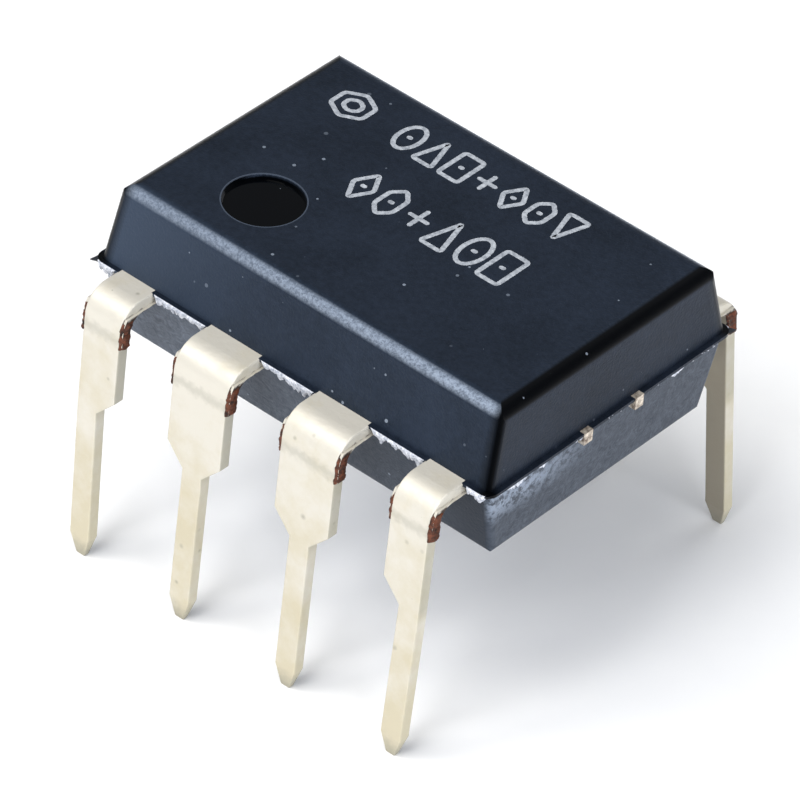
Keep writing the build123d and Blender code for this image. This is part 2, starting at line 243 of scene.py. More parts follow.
    # paler towards the left of both long sides
    to_left = add(tree, "ShaderNodeMapRange", {
        "Value": split.outputs[0], "From Min": LEFT_PALE_ZONE[0] * MM, "From Max": LEFT_PALE_ZONE[1] * MM})
    left_pale_share = add(tree, "ShaderNodeMath", {
        0: to_left.outputs[0], 1: face_y}, operation="MULTIPLY")
    paler_left = add(tree, "ShaderNodeMix", {
        "Factor": left_pale_share.outputs[0], 6: ground.outputs[2], 7: linear("#2c3542")}, data_type="RGBA")
    scuff = add(tree, "ShaderNodeTexNoise", {
        "Vector": place, "Scale": 1 / (0.22 * MM), "Detail": 5.0, "Roughness": 0.7, "Distortion": 1.6})
    scuffed = add(tree, "ShaderNodeMapRange", {
        "Value": scuff.outputs["Fac"], "From Min": 0.36, "From Max": 0.74})
    # painted shade: the lower half darkens towards the right end and its scuffs thin out with it; the end
    # faces keep some painted light
    painted_light_falloff = add(tree, "ShaderNodeMapRange", {
        "Value": split.outputs[0], "From Min": PAINTED_LIGHT_ZONE[1] * MM, "From Max": PAINTED_LIGHT_ZONE[0] * MM,
        "To Min": 1.0, "To Max": 0.0})
    end_painted_light = add(tree, "ShaderNodeMath", {0: face_x, 1: 0.34}, operation="MULTIPLY")
    scuff_and_painted_light = add(tree, "ShaderNodeMath", {0: painted_light_falloff.outputs[0], 1: end_painted_light.outputs[0]}, operation="MAXIMUM")
    shaded_scuff_share = add(tree, "ShaderNodeMath", {
        0: scuffed.outputs[0], 1: scuff_and_painted_light.outputs[0]}, operation="MULTIPLY")
    lower_shaded_ground = add(tree, "ShaderNodeMix", {
        "Factor": scuff_and_painted_light.outputs[0], 6: linear("#0f1319"), 7: linear("#484e57")}, data_type="RGBA")
    lower_scuffed_shaded = add(tree, "ShaderNodeMix", {
        "Factor": shaded_scuff_share.outputs[0], 6: lower_shaded_ground.outputs[2], 7: linear("#737a85")},
        data_type="RGBA")
    # a scraped patch under the lip at the front corner of the right end
    scrape_y = add(tree, "ShaderNodeMapRange", {
        "Value": split.outputs[1], "From Min": SCRAPE_ACROSS[0] * MM, "From Max": SCRAPE_ACROSS[1] * MM})
    scrape_z = add(tree, "ShaderNodeMapRange", {
        "Value": split.outputs[2], "From Min": SCRAPE_UP[0] * MM, "From Max": SCRAPE_UP[1] * MM})
    scrape_corner = add(tree, "ShaderNodeMath", {
        0: scrape_y.outputs[0], 1: scrape_z.outputs[0]}, operation="MULTIPLY")
    scrape_end = add(tree, "ShaderNodeMath", {
        0: scrape_corner.outputs[0], 1: facing.outputs[0]}, operation="MULTIPLY", use_clamp=True)
    scrape_grain = add(tree, "ShaderNodeMapRange", {
        "Value": mottle.outputs["Fac"], "From Min": 0.40, "From Max": 0.56})
    scrape = add(tree, "ShaderNodeMath", {
        0: scrape_end.outputs[0], 1: scrape_grain.outputs[0]}, operation="MULTIPLY")
    lower_tint = add(tree, "ShaderNodeMix", {
        "Factor": scrape.outputs[0], 6: lower_scuffed_shaded.outputs[2], 7: linear("#828c9a")}, data_type="RGBA")
    with_lower = add(tree, "ShaderNodeMix", {
        "Factor": lower.outputs[0], 6: paler_left.outputs[2], 7: lower_tint.outputs[2]}, data_type="RGBA")
    # long rims: pale wear broken up by a grain 0.06 mm across, partly a painted highlight, which fades a
    # little towards the left
    rim_grain = add(tree, "ShaderNodeTexNoise", {
        "Vector": place, "Scale": 1 / (0.06 * MM), "Detail": 2.0, "Roughness": 0.8})
    rim_broken = add(tree, "ShaderNodeMapRange", {
        "Value": rim_grain.outputs["Fac"], "From Min": 0.34, "From Max": 0.64,
        "To Min": 0.4, "To Max": 1.0})
    rim_highlight_fade = add(tree, "ShaderNodeMapRange", {
        "Value": painted_light_falloff.outputs[0], "To Min": 1.0, "To Max": 0.72})
    rim_share = add(tree, "ShaderNodeMath", {
        0: rim_broken.outputs[0], 1: rim_highlight_fade.outputs[0]}, operation="MULTIPLY")
    rim_wear_and_highlight = add(tree, "ShaderNodeMath", {
        0: long_rim.outputs[0], 1: rim_share.outputs[0]}, operation="MULTIPLY")
    with_rim_wear_and_highlight = add(tree, "ShaderNodeMix", {
        "Factor": rim_wear_and_highlight.outputs[0], 6: with_lower.outputs[2], 7: linear("#8e98a6")}, data_type="RGBA")
    # painted shade: the end rims, the upright corners and the ejector mark are painted near black
    painted_dark_zone = add(tree, "ShaderNodeMath", {
        0: mark.outputs[0], 1: upper_smooth_shaded.outputs[0]}, operation="MAXIMUM")
    with_painted_dark = add(tree, "ShaderNodeMix", {
        "Factor": painted_dark_zone.outputs[0], 6: with_rim_wear_and_highlight.outputs[2], 7: linear("#020305")}, data_type="RGBA")
    # filler specks, at most one in a cell 0.24 mm across, drawn coarser than real ones to show
    cells = add(tree, "ShaderNodeTexVoronoi", {"Vector": place, "Scale": 1 / (0.24 * MM)})
    chosen = add(tree, "ShaderNodeSeparateColor", {0: cells.outputs["Color"]})
    speck_size = add(tree, "ShaderNodeMapRange", {
        "Value": chosen.outputs[0], "From Min": 0.72, "From Max": 1.0, "To Min": 0.0, "To Max": 0.17})
    speck = add(tree, "ShaderNodeMath", {
        0: cells.outputs["Distance"], 1: speck_size.outputs[0]}, operation="LESS_THAN")
    speck_share = add(tree, "ShaderNodeMath", {
        0: speck.outputs[0], 1: add(tree, "ShaderNodeMath", {
            0: chosen.outputs[1], 1: 0.65}, operation="MULTIPLY").outputs[0]}, operation="MULTIPLY")
    with_specks = add(tree, "ShaderNodeMix", {
        "Factor": speck_share.outputs[0], 6: with_painted_dark.outputs[2], 7: linear("#98a2b0")}, data_type="RGBA")
    # a painted highlight on the edge of the ejector mark, drawn as a thin paler ring
    ring_reach = add(tree, "ShaderNodeMath", {
        0: from_mark.outputs["Value"], 1: RING_ZONE[0] * EJECTOR_RADIUS * MM,
        2: RING_ZONE[1] * EJECTOR_RADIUS * MM},
        operation="COMPARE")
    ring_highlight = add(tree, "ShaderNodeMath", {
        0: ring_reach.outputs[0], 1: above.outputs[0]}, operation="MULTIPLY")
    ring_highlight_share = add(tree, "ShaderNodeMath", {0: ring_highlight.outputs[0], 1: 0.45}, operation="MULTIPLY")
    colour = add(tree, "ShaderNodeMix", {
        "Factor": ring_highlight_share.outputs[0], 6: with_specks.outputs[2], 7: linear("#5b6472")}, data_type="RGBA")

    # gloss: matt faces, smooth ground edges, polished mark
    rough_edge = add(tree, "ShaderNodeMix", {
        "Factor": upper_smooth_shaded.outputs[0], 2: 0.5, 3: 0.34}, data_type="FLOAT")
    rough = add(tree, "ShaderNodeMix", {
        "Factor": mark.outputs[0], 2: rough_edge.outputs[0], 3: 0.12}, data_type="FLOAT")

    # relief: the eroded grain, which is really finer, is drawn 0.05 mm across so that it shows
    grain = add(tree, "ShaderNodeTexNoise", {
        "Vector": place, "Scale": 1 / (0.05 * MM), "Detail": 2.0, "Roughness": 0.6})
    grain_share = add(tree, "ShaderNodeMath", {
        0: 1.0, 1: painted_dark_zone.outputs[0]}, operation="SUBTRACT")
    height = add(tree, "ShaderNodeMath", {
        0: grain.outputs["Fac"], 1: grain_share.outputs[0]}, operation="MULTIPLY")
    relief = add(tree, "ShaderNodeBump", {
        "Height": height.outputs[0], "Distance": 0.012 * MM, "Strength": 0.8})

    # reflections: bluish, turned down as painted shade on the end faces, and nearly off as a painted dark
    # reflection on the ejector mark and the dark rims
    end_painted_shade = add(tree, "ShaderNodeMath", {0: face_x, 1: 0.4}, operation="MULTIPLY")
    reflection_painted_down = add(tree, "ShaderNodeMath", {
        0: painted_dark_zone.outputs[0], 1: end_painted_shade.outputs[0]}, operation="MAXIMUM")
    sheen = add(tree, "ShaderNodeMix", {
        "Factor": reflection_painted_down.outputs[0], 6: linear("#b2d0ff"), 7: linear("#0b0d10")}, data_type="RGBA")

    tree.links.new(colour.outputs[2], shader.inputs["Base Color"])
    tree.links.new(rough.outputs[0], shader.inputs["Roughness"])
    tree.links.new(relief.outputs[0], shader.inputs["Normal"])
    tree.links.new(sheen.outputs[2], shader.inputs["Specular Tint"])
    shader.inputs["Specular IOR Level"].default_value = 0.56
    return material


def tin_plated_lead():
    """Matte tin plate on stamped copper alloy, handled and a little aged.

    It gives a soft cream-white metal with slow yellowish staining that grows towards the tips,
    dull spots and small dents. The faces turned to the body carry a greyish painted shade, the
    sheared sides are duller, the tips and a band under each bend grey, and dark brown copper is bare
    where the dam bar was cut off."""
    material, tree, shader = blank("tin_plate_matte_aged")
    place = add(tree, "ShaderNodeTexCoord").outputs["Object"]
    split = add(tree, "ShaderNodeSeparateXYZ", {0: place})
    facing = add(tree, "ShaderNodeSeparateXYZ", {0: add(tree, "ShaderNodeNewGeometry").outputs["Normal"]})

    stains = add(tree, "ShaderNodeTexNoise", {
        "Vector": place, "Scale": 1 / (0.9 * MM), "Detail": 5.0, "Roughness": 0.65})
    down = add(tree, "ShaderNodeMapRange", {
        "Value": split.outputs[2], "From Min": STAIN_ZONE[0] * MM, "From Max": STAIN_ZONE[1] * MM,
        "To Min": -0.12, "To Max": 0.30})
    stained = add(tree, "ShaderNodeMath", {
        0: stains.outputs["Fac"], 1: down.outputs[0]}, operation="ADD")
    stain_share = add(tree, "ShaderNodeMapRange", {
        "Value": stained.outputs[0], "From Min": 0.42, "From Max": 0.78})
    plate = add(tree, "ShaderNodeMix", {
        "Factor": stain_share.outputs[0], 6: linear("#d6d1c5"), 7: linear("#cac1a8")}, data_type="RGBA")
    spots = add(tree, "ShaderNodeTexVoronoi", {"Vector": place, "Scale": 1 / (0.33 * MM)})
    spot_pick = add(tree, "ShaderNodeSeparateColor", {0: spots.outputs["Color"]})
    spot_size = add(tree, "ShaderNodeMapRange", {
        "Value": spot_pick.outputs[0], "From Min": 0.5, "From Max": 1.0, "To Min": 0.0, "To Max": 0.24})
    spot = add(tree, "ShaderNodeMapRange", {
        "Value": spots.outputs["Distance"], "From Min": spot_size.outputs[0], "From Max": 0.0,
        "To Min": 0.0, "To Max": 0.7})
    spotted = add(tree, "ShaderNodeMix", {
        "Factor": spot.outputs[0], 6: plate.outputs[2], 7: linear("#8d8978")}, data_type="RGBA")

    # painted shade, greyish, on the faces turned to the body
    outwards = add(tree, "ShaderNodeMath", {0: split.outputs[1]}, operation="SIGN")
    turned_in = add(tree, "ShaderNodeMath", {
        0: outwards.outputs[0], 1: facing.outputs[1]}, operation="MULTIPLY")
    inner = add(tree, "ShaderNodeMapRange", {
        "Value": turned_in.outputs[0], "From Min": -0.4, "From Max": -0.9})
    with_inner_shade = add(tree, "ShaderNodeMix", {
        "Factor": inner.outputs[0], 6: spotted.outputs[2], 7: linear("#9b9382")}, data_type="RGBA")

    # sheared side faces, duller than the plate, and dullest down the shoulders
    sideways = add(tree, "ShaderNodeMath", {0: facing.outputs[0]}, operation="ABSOLUTE")
    on_side = add(tree, "ShaderNodeMapRange", {
        "Value": sideways.outputs[0], "From Min": 0.5, "From Max": 0.8})
    down_shoulder = add(tree, "ShaderNodeMapRange", {
        "Value": split.outputs[2], "From Min": SHEAR_ZONE[0] * MM, "From Max": SHEAR_ZONE[1] * MM,
        "To Min": 0.15, "To Max": 0.45})
    below_bend = add(tree, "ShaderNodeMapRange", {
        "Value": split.outputs[2], "From Min": BEND_ZONE[0] * MM, "From Max": BEND_ZONE[1] * MM,
        "To Min": 0.25, "To Max": 1.0})
    shear_tone = add(tree, "ShaderNodeMath", {
        0: down_shoulder.outputs[0], 1: below_bend.outputs[0]}, operation="MULTIPLY")
    shear_share = add(tree, "ShaderNodeMath", {
        0: shear_tone.outputs[0], 1: on_side.outputs[0]}, operation="MULTIPLY")
    sheared = add(tree, "ShaderNodeMix", {
        "Factor": shear_share.outputs[0], 6: with_inner_shade.outputs[2], 7: linear("#77755f")}, data_type="RGBA")

    # grey rub left by the bending tool under each bend, and grey tips
    ragged = add(tree, "ShaderNodeTexNoise", {
        "Vector": place, "Scale": 1 / (0.12 * MM), "Detail": 3.0})
    ragged_z = add(tree, "ShaderNodeMath", {
        0: ragged.outputs["Fac"], 1: RAGGED_REACH * MM, 2: split.outputs[2]}, operation="MULTIPLY_ADD")
    from_rub = add(tree, "ShaderNodeMath", {
        0: ragged_z.outputs[0], 1: RUB_HEIGHT * MM}, operation="SUBTRACT")
    from_rub_abs = add(tree, "ShaderNodeMath", {0: from_rub.outputs[0]}, operation="ABSOLUTE")
    rub = add(tree, "ShaderNodeMapRange", {
        "Value": from_rub_abs.outputs[0], "From Min": RUB_REACH[0] * MM, "From Max": RUB_REACH[1] * MM,
        "To Max": 0.32})
    tip = add(tree, "ShaderNodeMapRange", {
        "Value": ragged_z.outputs[0], "From Min": TIP_ZONE[0] * MM, "From Max": TIP_ZONE[1] * MM,
        "To Max": 0.8})
    greyed = add(tree, "ShaderNodeMath", {0: rub.outputs[0], 1: tip.outputs[0]}, operation="MAXIMUM")
    rubbed = add(tree, "ShaderNodeMix", {
        "Factor": greyed.outputs[0], 6: sheared.outputs[2], 7: linear("#928f80")}, data_type="RGBA")

    # bare copper, dark brown with oxide, on the side faces where the dam bar was
    from_middle = add(tree, "ShaderNodeMath", {
        0: ragged_z.outputs[0], 1: CUT_MIDDLE * MM}, operation="SUBTRACT")
    from_middle_abs = add(tree, "ShaderNodeMath", {0: from_middle.outputs[0]}, operation="ABSOLUTE")
    in_band = add(tree, "ShaderNodeMapRange", {
        "Value": from_middle_abs.outputs[0], "From Min": CUT_REACH[0] * MM, "From Max": CUT_REACH[1] * MM})
    cut = add(tree, "ShaderNodeMath", {
        0: on_side.outputs[0], 1: in_band.outputs[0]}, operation="MULTIPLY")
    colour = add(tree, "ShaderNodeMix", {
        "Factor": cut.outputs[0], 6: rubbed.outputs[2], 7: linear("#2e1a0e")}, data_type="RGBA")

    # gloss and relief: satin, with shallow dents 0.14 mm across
    rough = add(tree, "ShaderNodeMapRange", {
        "Value": stains.outputs["Fac"], "From Min": 0.3, "From Max": 0.7, "To Min": 0.42, "To Max": 0.55})
    dents = add(tree, "ShaderNodeTexNoise", {
        "Vector": place, "Scale": 1 / (0.14 * MM), "Detail": 3.0, "Roughness": 0.55})
    relief = add(tree, "ShaderNodeBump", {
        "Height": dents.outputs["Fac"], "Distance": 0.02 * MM, "Strength": 0.35})
    tree.links.new(colour.outputs[2], shader.inputs["Base Color"])
    tree.links.new(rough.outputs[0], shader.inputs["Roughness"])
    tree.links.new(relief.outputs[0], shader.inputs["Normal"])
    shader.inputs["Metallic"].default_value = 0.3
    return material


def two_tone(name, dark, light, patch_mm, rough_low, rough_high, metallic=0.0, relief_mm=0.004):
    """Principled finish whose colour and gloss drift between two tones over patches of one size."""
    material, tree, shader = blank(name)
    place = add(tree, "ShaderNodeTexCoord").outputs["Object"]
    drift = add(tree, "ShaderNodeTexNoise", {
        "Vector": place, "Scale": 1 / (patch_mm * MM), "Detail": 5.0, "Roughness": 0.7})
    share = add(tree, "ShaderNodeMapRange", {
        "Value": drift.outputs["Fac"], "From Min": 0.35, "From Max": 0.65})
    colour = add(tree, "ShaderNodeMix", {
        "Factor": share.outputs[0], 6: linear(dark), 7: linear(light)}, data_type="RGBA")
    rough = add(tree, "ShaderNodeMapRange", {
        "Value": share.outputs[0], "To Min": rough_high, "To Max": rough_low})
    relief = add(tree, "ShaderNodeBump", {
        "Height": drift.outputs["Fac"], "Distance": relief_mm * MM, "Strength": 1.0})
    tree.links.new(colour.outputs[2], shader.inputs["Base Color"])
    tree.links.new(rough.outputs[0], shader.inputs["Roughness"])
    tree.links.new(relief.outputs[0], shader.inputs["Normal"])
    shader.inputs["Metallic"].default_value = metallic
    return material


# ---- printed figures -----------------------------------------------------------------------
def rounded_path(corners, is_loop, radius):
    """Points along a path whose corners are rounded, evenly spaced.

    Beside each corner C lie A and B, a radius away along its two sides but never past 0.45 of
    them, and the path turns on
    (1 - t)^2 A + 2 t (1 - t) C + t^2 B with t from 0 to 1. An open path keeps its two ends."""
    corners = np.asarray(corners, float)
    before, later = np.roll(corners, 1, axis=0), np.roll(corners, -1, axis=0)
    inner = slice(None) if is_loop else slice(1, -1)
    c, before, later = corners[inner], before[inner], later[inner]
    back_side = np.linalg.norm(before - c, axis=1)[:, None]
    fore_side = np.linalg.norm(later - c, axis=1)[:, None]
    a = c + np.minimum(radius / back_side, 0.45) * (before - c)
    b = c + np.minimum(radius / fore_side, 0.45) * (later - c)
    t = np.linspace(0, 1, 9)[:, None]
    turns = (1 - t) ** 2 * a[:, None] + 2 * t * (1 - t) * c[:, None] + t ** 2 * b[:, None]
    line = turns.reshape(-1, 2)
    if is_loop:
        line = np.concatenate([line, line[:1]])
    else:
        line = np.concatenate([corners[:1], line, corners[-1:]])
    run = np.concatenate([[0], np.cumsum(np.linalg.norm(np.diff(line, axis=0), axis=1))])
    keep = np.concatenate([[True], np.diff(run) > 1e-9])
    spots = np.linspace(0, run[-1], int(run[-1] / INK_STEP) + 2)
    spots = spots[:-1] if is_loop else spots
    return np.stack([np.interp(spots, run[keep], line[keep][:, k]) for k in range(2)], -1)


def ink_ribbon(corners, is_loop, seed):
    """A printed line: a flat band of ink with a slightly ragged edge along a rounded path.

    Its two edges lie at P +- w N, where N is the path's normal and w is half the stroke times
    1 +- 0.07 of noise, and on an open path times sqrt(1 - 0.96 s^2), s growing to 1 over half a
    stroke at its ends. Odd and even seeds stand at two heights, so that lines which cross don't
    share a face."""
    line = rounded_path(corners, is_loop, INK_TURN)
    if is_loop:
        ahead = np.roll(line, -1, axis=0) - np.roll(line, 1, axis=0)
    else:
        ahead = np.gradient(line, axis=0)
    ahead /= np.linalg.norm(ahead, axis=1)[:, None]
    normal = np.stack([-ahead[:, 1], ahead[:, 0]], -1)
    edges = 0.93 + 0.14 * np.random.default_rng(seed).random((len(line), 2))
    if not is_loop:
        gone = np.linalg.norm(line - line[0], axis=1)
        left = np.linalg.norm(line - line[-1], axis=1)
        short = 1 - np.clip(np.minimum(gone, left) / (INK_STROKE / 2), 0, 1)
        edges *= np.sqrt(1 - 0.96 * short ** 2)[:, None]
    half = INK_STROKE / 2 * edges
    one = line + half[:, :1] * normal
    other = line - half[:, 1:] * normal
    top, foot = TOP_FACE + INK_PROUD * (0.7 + 0.3 * (seed % 2)), TOP_FACE - INK_SUNK
    rows = [np.column_stack([side, np.full(len(line), z)])
            for side, z in ((one, top), (other, top), (other, foot), (one, foot))]
    return np.stack(rows, 1), is_loop


def oval(count, w, h):
    """Corners of an oval w wide and h tall whose box starts at (0, 0)."""
    turn = np.linspace(0, 2 * np.pi, count, endpoint=False) + np.pi / 2
    return np.stack([w / 2 * (1 + np.cos(turn)), h / 2 * (1 + np.sin(turn))], -1)


def figure_paths(kind, w, h):
    """Plain geometric figures in a box w wide and h tall: paths, each with its loop flag."""
    dot = [((0.36 * w, h / 2), (0.64 * w, h / 2))]
    square = [(0, 0), (w, 0), (w, h), (0, h)]
    figures = {
        "dotted_square": ([square], dot),
        "triangle": ([[(0, 0), (w, 0), (w / 2, h)]], []),
        "funnel": ([[(0, h), (w, h), (w / 2, 0)]], []),
        "dotted_diamond": ([[(w / 2, 0), (w, h / 2), (w / 2, h), (0, h / 2)]], dot),
        "plus": ([], [[(0, h / 2), (w, h / 2)], [(w / 2, 0.16 * h), (w / 2, 0.84 * h)]]),
        "target": ([oval(20, w, h)], dot),
        "dotted_hexagon": ([oval(6, w, h)], dot),
        "nested_hexagons": (
            [oval(6, w, h), oval(6, 0.46 * w, 0.46 * h) + 0.27 * np.array([w, h])], []),
    }
    loops, lines = figures[kind]
    return [(path, True) for path in loops] + [(path, False) for path in lines]


def ink_row(kinds, left, right, base, height, share, seed):
    """A row of figures spread evenly between two places, all one height.

    Each figure fills a share of its pitch, and each path takes the next seed."""
    pitch = (right - left) / (len(kinds) - 1 + share)
    ribbons = []
    for place, kind in enumerate(kinds):
        for path, is_loop in figure_paths(kind, pitch * share, height):
            corners = np.asarray(path, float) + (left + place * pitch, base)
            ribbons.append(ink_ribbon(corners, is_loop, seed + len(ribbons)))
    return ribbons


def make_printing(ink):
    """A nested hexagon and two rows of plain figures where a package carries its printing."""
    mark = ["nested_hexagons"]
    upper = [
        "target", "triangle", "dotted_square", "plus", "dotted_diamond", "dotted_hexagon", "funnel"]
    lower = ["dotted_diamond", "dotted_hexagon", "plus", "triangle", "target", "dotted_square"]
    ribbons = ink_row(mark, left=-3.52, right=-2.66, base=1.36, height=0.80, share=1.0, seed=10)
    ribbons += ink_row(upper, left=-1.98, right=2.11, base=1.39, height=0.77, share=0.74, seed=100)
    ribbons += ink_row(lower, left=-1.63, right=2.07, base=-0.30, height=0.87, share=0.74, seed=300)
    return skin("printed_figures", ribbons, ink, smooth=False)


# ---- resin bleed, corner flash, dam-bar cuts -----------------------------------------------
def bleed_flake(start, end, wall, outwards, height, seed):
    """A ragged flake of resin on the lower half, hanging from the lip between two places.

    u runs along the wall and v round the section: the point hangs h(u) (1 - cos v) / 2 below the
    lip and stands p(u) sin v out, crumpled at random by a quarter, following the wall's slope. Its
    back half reaches LIP_PROUD sin v into the body. h is smooth noise at two sizes and p at one,
    under an envelope that falls almost to nothing at both ends."""
    around = 14
    start, end = np.array(start, float), np.array(end, float)
    length = np.linalg.norm(end - start)
    rows = max(12, int(length / BLEED_STEP))
    t = np.linspace(0, 1, rows)
    envelope = np.clip(np.sin(np.pi * t) * 3, 0.05, 1)
    slow = smooth_noise(rows, max(2, rows // 5), seed)
    quick = smooth_noise(rows, 3, seed + 1)
    hang = height * envelope * (0.4 + 0.6 * slow) * (0.5 + 0.7 * quick)
    proud = BLEED_PROUD * envelope * (0.35 + 0.65 * smooth_noise(rows, 4, seed + 2))
    v = np.linspace(0, 2 * np.pi, around, endpoint=False)
    crumple = 0.75 + 0.5 * np.random.default_rng(seed + 3).random((rows, around))
    down = hang[:, None] * (1 - np.cos(v)) / 2
    swell = np.where(np.sin(v) > 0, proud[:, None] * np.sin(v) * crumple, LIP_PROUD * np.sin(v))
    out = swell - wall * down
    foot = start + (end - start) * t[:, None]
    grid = foot[:, None, :] + out[:, :, None] * np.array(outwards, float)
    grid[:, :, 2] -= down - 0.01
    return grid, False


def lead_x(index):
    """Where a lead of either row stands along the body, counted from the left."""
    return (index - (LEADS_PER_ROW - 1) / 2) * PITCH


def make_bleed(resin):
    """Flakes between the leads of both rows and along both ends, one piece."""
    top = FRAME_TOP - 0.015
    side_wall = SIDE_DRAFT / LOWER_HEIGHT
    end_wall = END_DRAFT / LOWER_HEIGHT
    flakes = []
    for side in (-1, 1):
        y = side * (BODY_HALF_WIDTH + LIP_PROUD)
        flakes.append(bleed_flake(
            (-BODY_HALF_LENGTH + 0.02, y, top), (lead_x(0) - PIN_HALF - 0.05, y, top), side_wall,
            (0, side, 0), BLEED_HEIGHT, 2000 + side))
        for gap in range(LEADS_PER_ROW):
            left = lead_x(gap) + SHOULDER_HALF
            right = lead_x(gap + 1) - SHOULDER_HALF if gap < LEADS_PER_ROW - 1 else BODY_HALF_LENGTH
            if gap == LEADS_PER_ROW - 1:
                left = lead_x(gap) + PIN_HALF + 0.05
            seed = 40 + 10 * gap + 100 * side
            middle = left + (right - left) * (0.42 + 0.05 * gap)
            halves = ((left + 0.03, middle, 0.8, 0), (middle - 0.05, right - 0.02, 1.0, 5))
            for a, b, tall, shift in halves:
                flakes.append(bleed_flake(
                    (a, y, top), (b, y, top), side_wall, (0, side, 0), BLEED_HEIGHT * tall,
                    1000 + seed + shift))
    # flakes of each end: where they start and stop across the body, share of the height, seed
    end_flakes = (
        (-3.1, -1.6, 1.0, 1), (-1.7, -0.4, 0.6, 2), (-0.3, 1.4, 0.5, 3), (1.5, 3.0, 0.7, 4))
    for side in (-1, 1):
        x = side * (BODY_HALF_LENGTH + LIP_PROUD - BLEED_SUNK_END)
        for a, b, tall, seed in end_flakes:
            flakes.append(bleed_flake(
                (x, a, top), (x, b, top), end_wall, (side, 0, 0), 0.8 * BLEED_HEIGHT * tall,
                3000 + 50 * side + seed))
    return skin("resin_bleed", flakes, resin)


def corner_spike(root, tip, width, thickness, seed):
    """A pointed fin of flash from root to tip, t going from 0 to 1.

    Its section is an ellipse whose size is (1 - t)^0.8 times 0.9 to 1.1 of noise, plus 0.02."""
    rows = 18
    root, tip = np.array(root, float), np.array(tip, float)
    along = (tip - root) / np.linalg.norm(tip - root)
    across = np.cross((0, 0, 1.0), along)
    across /= np.linalg.norm(across)
    t = np.linspace(0, 1, rows)
    size = (1 - t) ** 0.8 * (0.9 + 0.2 * smooth_noise(rows, 3, seed)) + 0.02
    v = np.linspace(0, 2 * np.pi, 12, endpoint=False)
    spine = root + (tip - root) * t[:, None]
    side = (size * width / 2)[:, None] * np.cos(v)
    rise = (size * thickness / 2)[:, None] * np.sin(v)
    grid = spine[:, None, :] + side[:, :, None] * across + rise[:, :, None] * np.array([0, 0, 1.0])
    return grid, False


def make_spikes(epoxy):
    """Torn flash that points out of the four corners at the parting line, one piece."""
    middle = FRAME_TOP - LIP_THICKNESS / 2
    spikes = []
    # corners: side along the body, side across it, how much longer the spike is, seed
    corners = ((-1, -1, 0.0, 1), (1, 1, 0.0, 2), (1, -1, -0.06, 3), (-1, 1, -0.06, 4))
    for x_side, y_side, reach, seed in corners:
        root = (
            x_side * (BODY_HALF_LENGTH - FLASH_ROOT), y_side * (BODY_HALF_WIDTH - FLASH_ROOT), middle)
        tip = (
            x_side * (BODY_HALF_LENGTH + 0.105 + reach), y_side * (BODY_HALF_WIDTH + 0.16 + reach),
            middle)
        spikes.append(corner_spike(root, tip, width=0.34, thickness=0.05, seed=seed))
    return skin("corner_flash", spikes, epoxy)


def leg_middle(side, z):
    """Distance from the body's middle to the metal's middle at each height, round the bend."""
    splay = np.radians(ROW_SPLAYS[0] if side < 0 else ROW_SPLAYS[1])
    centre_z = FRAME_TOP - FRAME_THICKNESS / 2
    straight = ROW_HALF_SPACING + (centre_z - z) * np.tan(splay)
    reach = BEND_RADIUS * np.tan((np.pi / 2 - splay) / 2)
    bend_z = centre_z - BEND_RADIUS
    bend_y = ROW_HALF_SPACING - reach
    rise = np.clip((z - bend_z) / BEND_RADIUS, -1, 1)
    round_bend = bend_y + BEND_RADIUS * np.sqrt(1 - rise ** 2)
    return np.where(z > bend_z, np.minimum(straight, round_bend), straight)


def cut_burr(side, x_face, x_side, seed):
    """The torn face left where the dam bar was cut: u runs down the lead and v round the section.

    The section spans the metal's thickness, a little ragged, and stands p(u) sin v out of the
    lead's side face, crumpled at random by a fifth. Its back is sunk 0.6 p(u) sin v into the metal.
    p is smooth noise under an envelope that falls almost to nothing at both ends."""
    rows, around = 34, 16
    z = np.linspace(CUT_TOP, CUT_BOTTOM, rows)
    t = np.linspace(0, 1, rows)
    envelope = np.clip(np.sin(np.pi * t) * 4, 0.04, 1)
    ragged = 0.88 + 0.3 * smooth_noise(rows, 3, seed)
    across = FRAME_THICKNESS / 2 * ragged * np.clip(envelope * 1.6, 0, 1)
    proud = (CUT_LEAST + CUT_PROUD * smooth_noise(rows, 3, seed + 1)) * envelope
    v = np.linspace(0, 2 * np.pi, around, endpoint=False)
    crumple = 0.8 + 0.4 * np.random.default_rng(seed + 2).random((rows, around))
    y = side * (leg_middle(side, z)[:, None] + across[:, None] * np.cos(v))
    out = proud[:, None] * np.where(np.sin(v) > 0, np.sin(v) * crumple, np.sin(v) * 0.6)
    x = x_face + x_side * out
    return np.stack([x, y, np.broadcast_to(z[:, None], x.shape)], -1), False


def make_cuts(copper):
    """Both cut faces of every lead, one piece."""
    burrs = []
    for side in (-1, 1):
        for index in range(LEADS_PER_ROW):
            for x_side in (-1, 1):
                outer = (index == 0 and x_side < 0) or (index == LEADS_PER_ROW - 1 and x_side > 0)
                half = PIN_HALF if outer else SHOULDER_HALF
                seed = 500 + 20 * index + 7 * x_side + 200 * side
                burrs.append(cut_burr(side, lead_x(index) + x_side * half, x_side, seed))
    return skin("dam_bar_cuts", burrs, copper)


